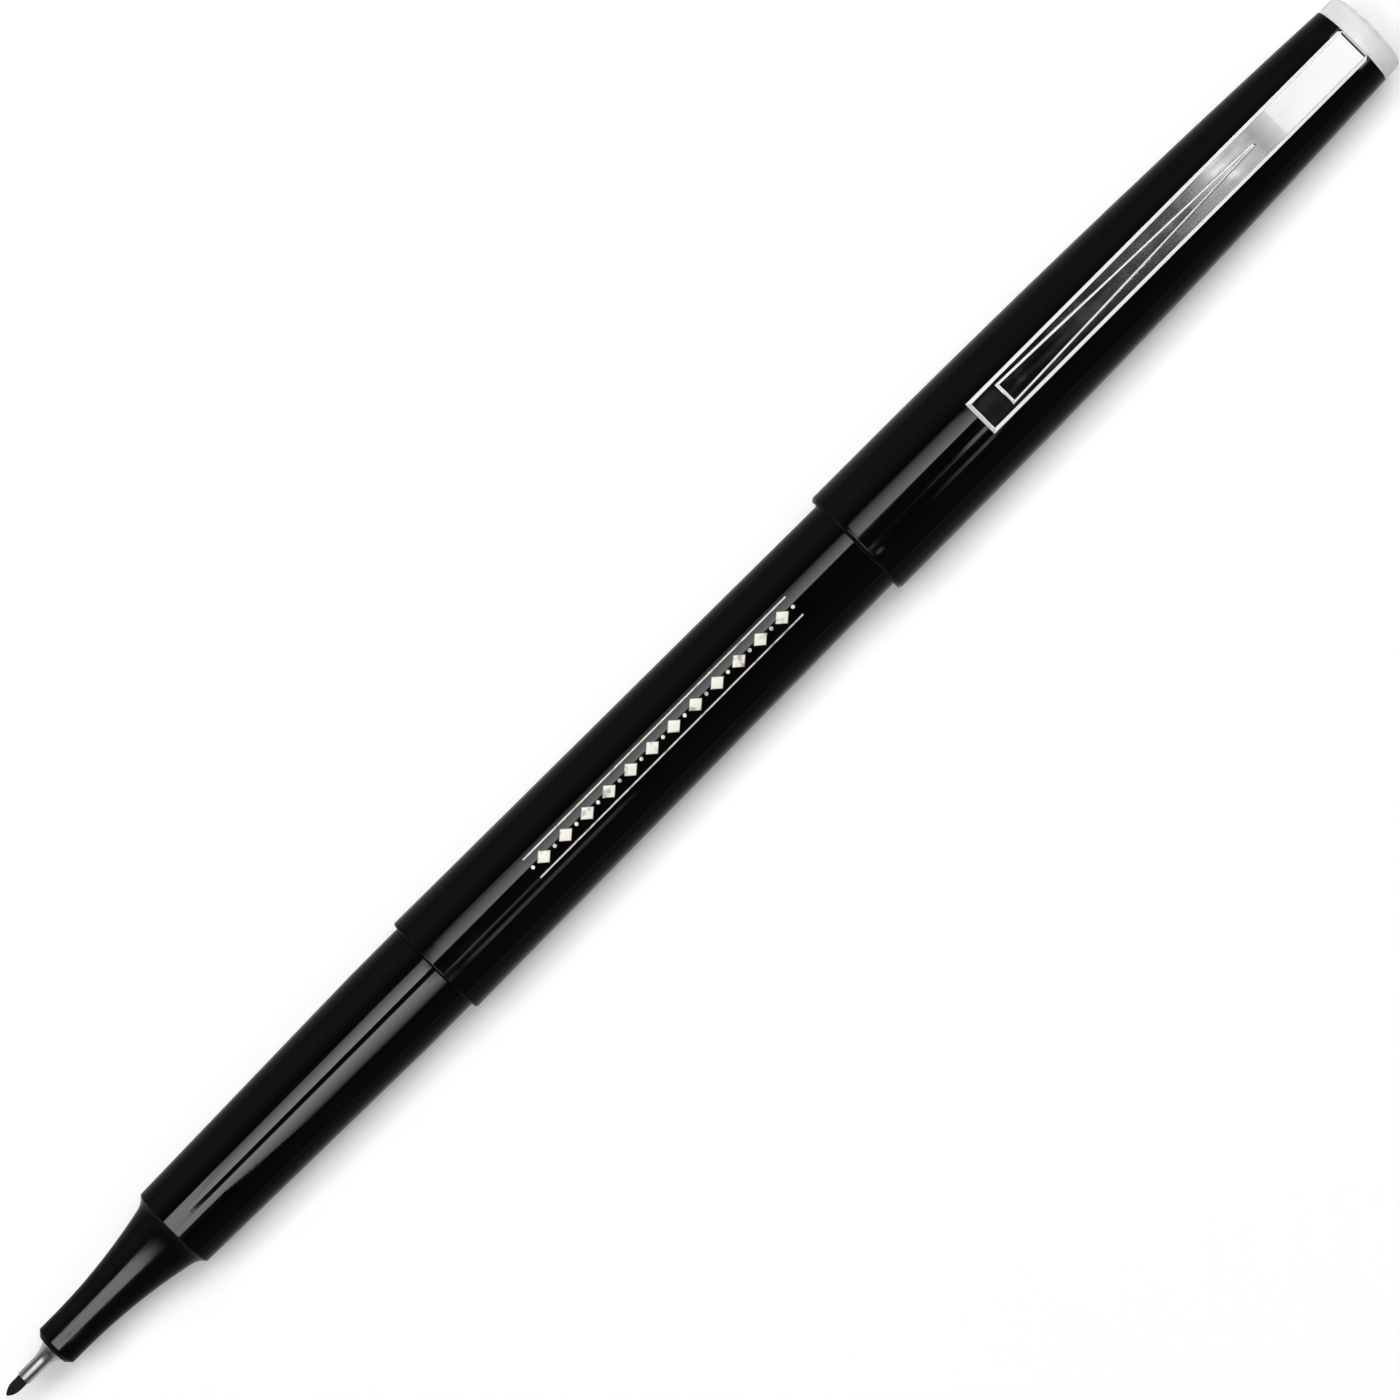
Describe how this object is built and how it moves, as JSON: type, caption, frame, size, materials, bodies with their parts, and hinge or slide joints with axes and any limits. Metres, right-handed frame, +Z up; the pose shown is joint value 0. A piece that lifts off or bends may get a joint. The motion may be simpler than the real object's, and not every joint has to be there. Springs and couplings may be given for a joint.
{
  "type": "fineliner pen",
  "caption": "Slim black fineliner pen: fibre tip in a metal sleeve, concave nose, tapered grip and barrel, and a pull-off cap with a springy stamped pocket clip, posted on the tail.",
  "frame": {"origin": "on the ground line, under the middle of the pen's length as posted", "axes": "+X along the pen from the fibre tip to the cap's plug, +Z up through the pocket clip, +Y across"},
  "size_m": [0.1552, 0.0102, 0.0108],
  "materials": {
    "nib_fibre": "ink-black bonded fibre",
    "sleeve_steel": "turned bright",
    "nose_plastic": "gloss black",
    "grip_plastic": "gloss black",
    "barrel_plastic": "gloss black",
    "tail_plastic": "satin black",
    "reservoir_fibre": "ink-soaked fibre",
    "reservoir_wrap": "thin clear film",
    "cap_plastic": "gloss black",
    "inner_cap_plastic": "natural moulded",
    "plug_plastic": "pale grey moulded",
    "clip_chrome": "bright plated"
  },
  "bodies": {
    "pen_body": {"barrel": "barrel_plastic", "grip_section": "grip_plastic", "nose_cone": "nose_plastic", "tip_sleeve": "sleeve_steel", "fibre_tip": "nib_fibre", "tail_plug": "tail_plastic", "ink_reservoir": "reservoir_fibre", "reservoir_film": "reservoir_wrap"},
    "cap": {"cap_shell": "cap_plastic", "inner_cap": "inner_cap_plastic", "cap_plug": "plug_plastic"},
    "clip": {"pocket_clip": "clip_chrome"}
  },
  "joints": [
    {"name": "cap_pull", "type": "slide", "parent": "pen_body", "child": "cap", "axis": [1, 0, 0], "range_m": [0, 0.035]},
    {"name": "clip_flex", "type": "hinge", "parent": "cap", "child": "clip", "pos_m": [0.07511, 0, 0.00892], "axis": [0, 1, 0], "range_deg": [0, 3], "stiffness_Nm_per_rad": 1, "springref_deg": -0.57}
  ]
}
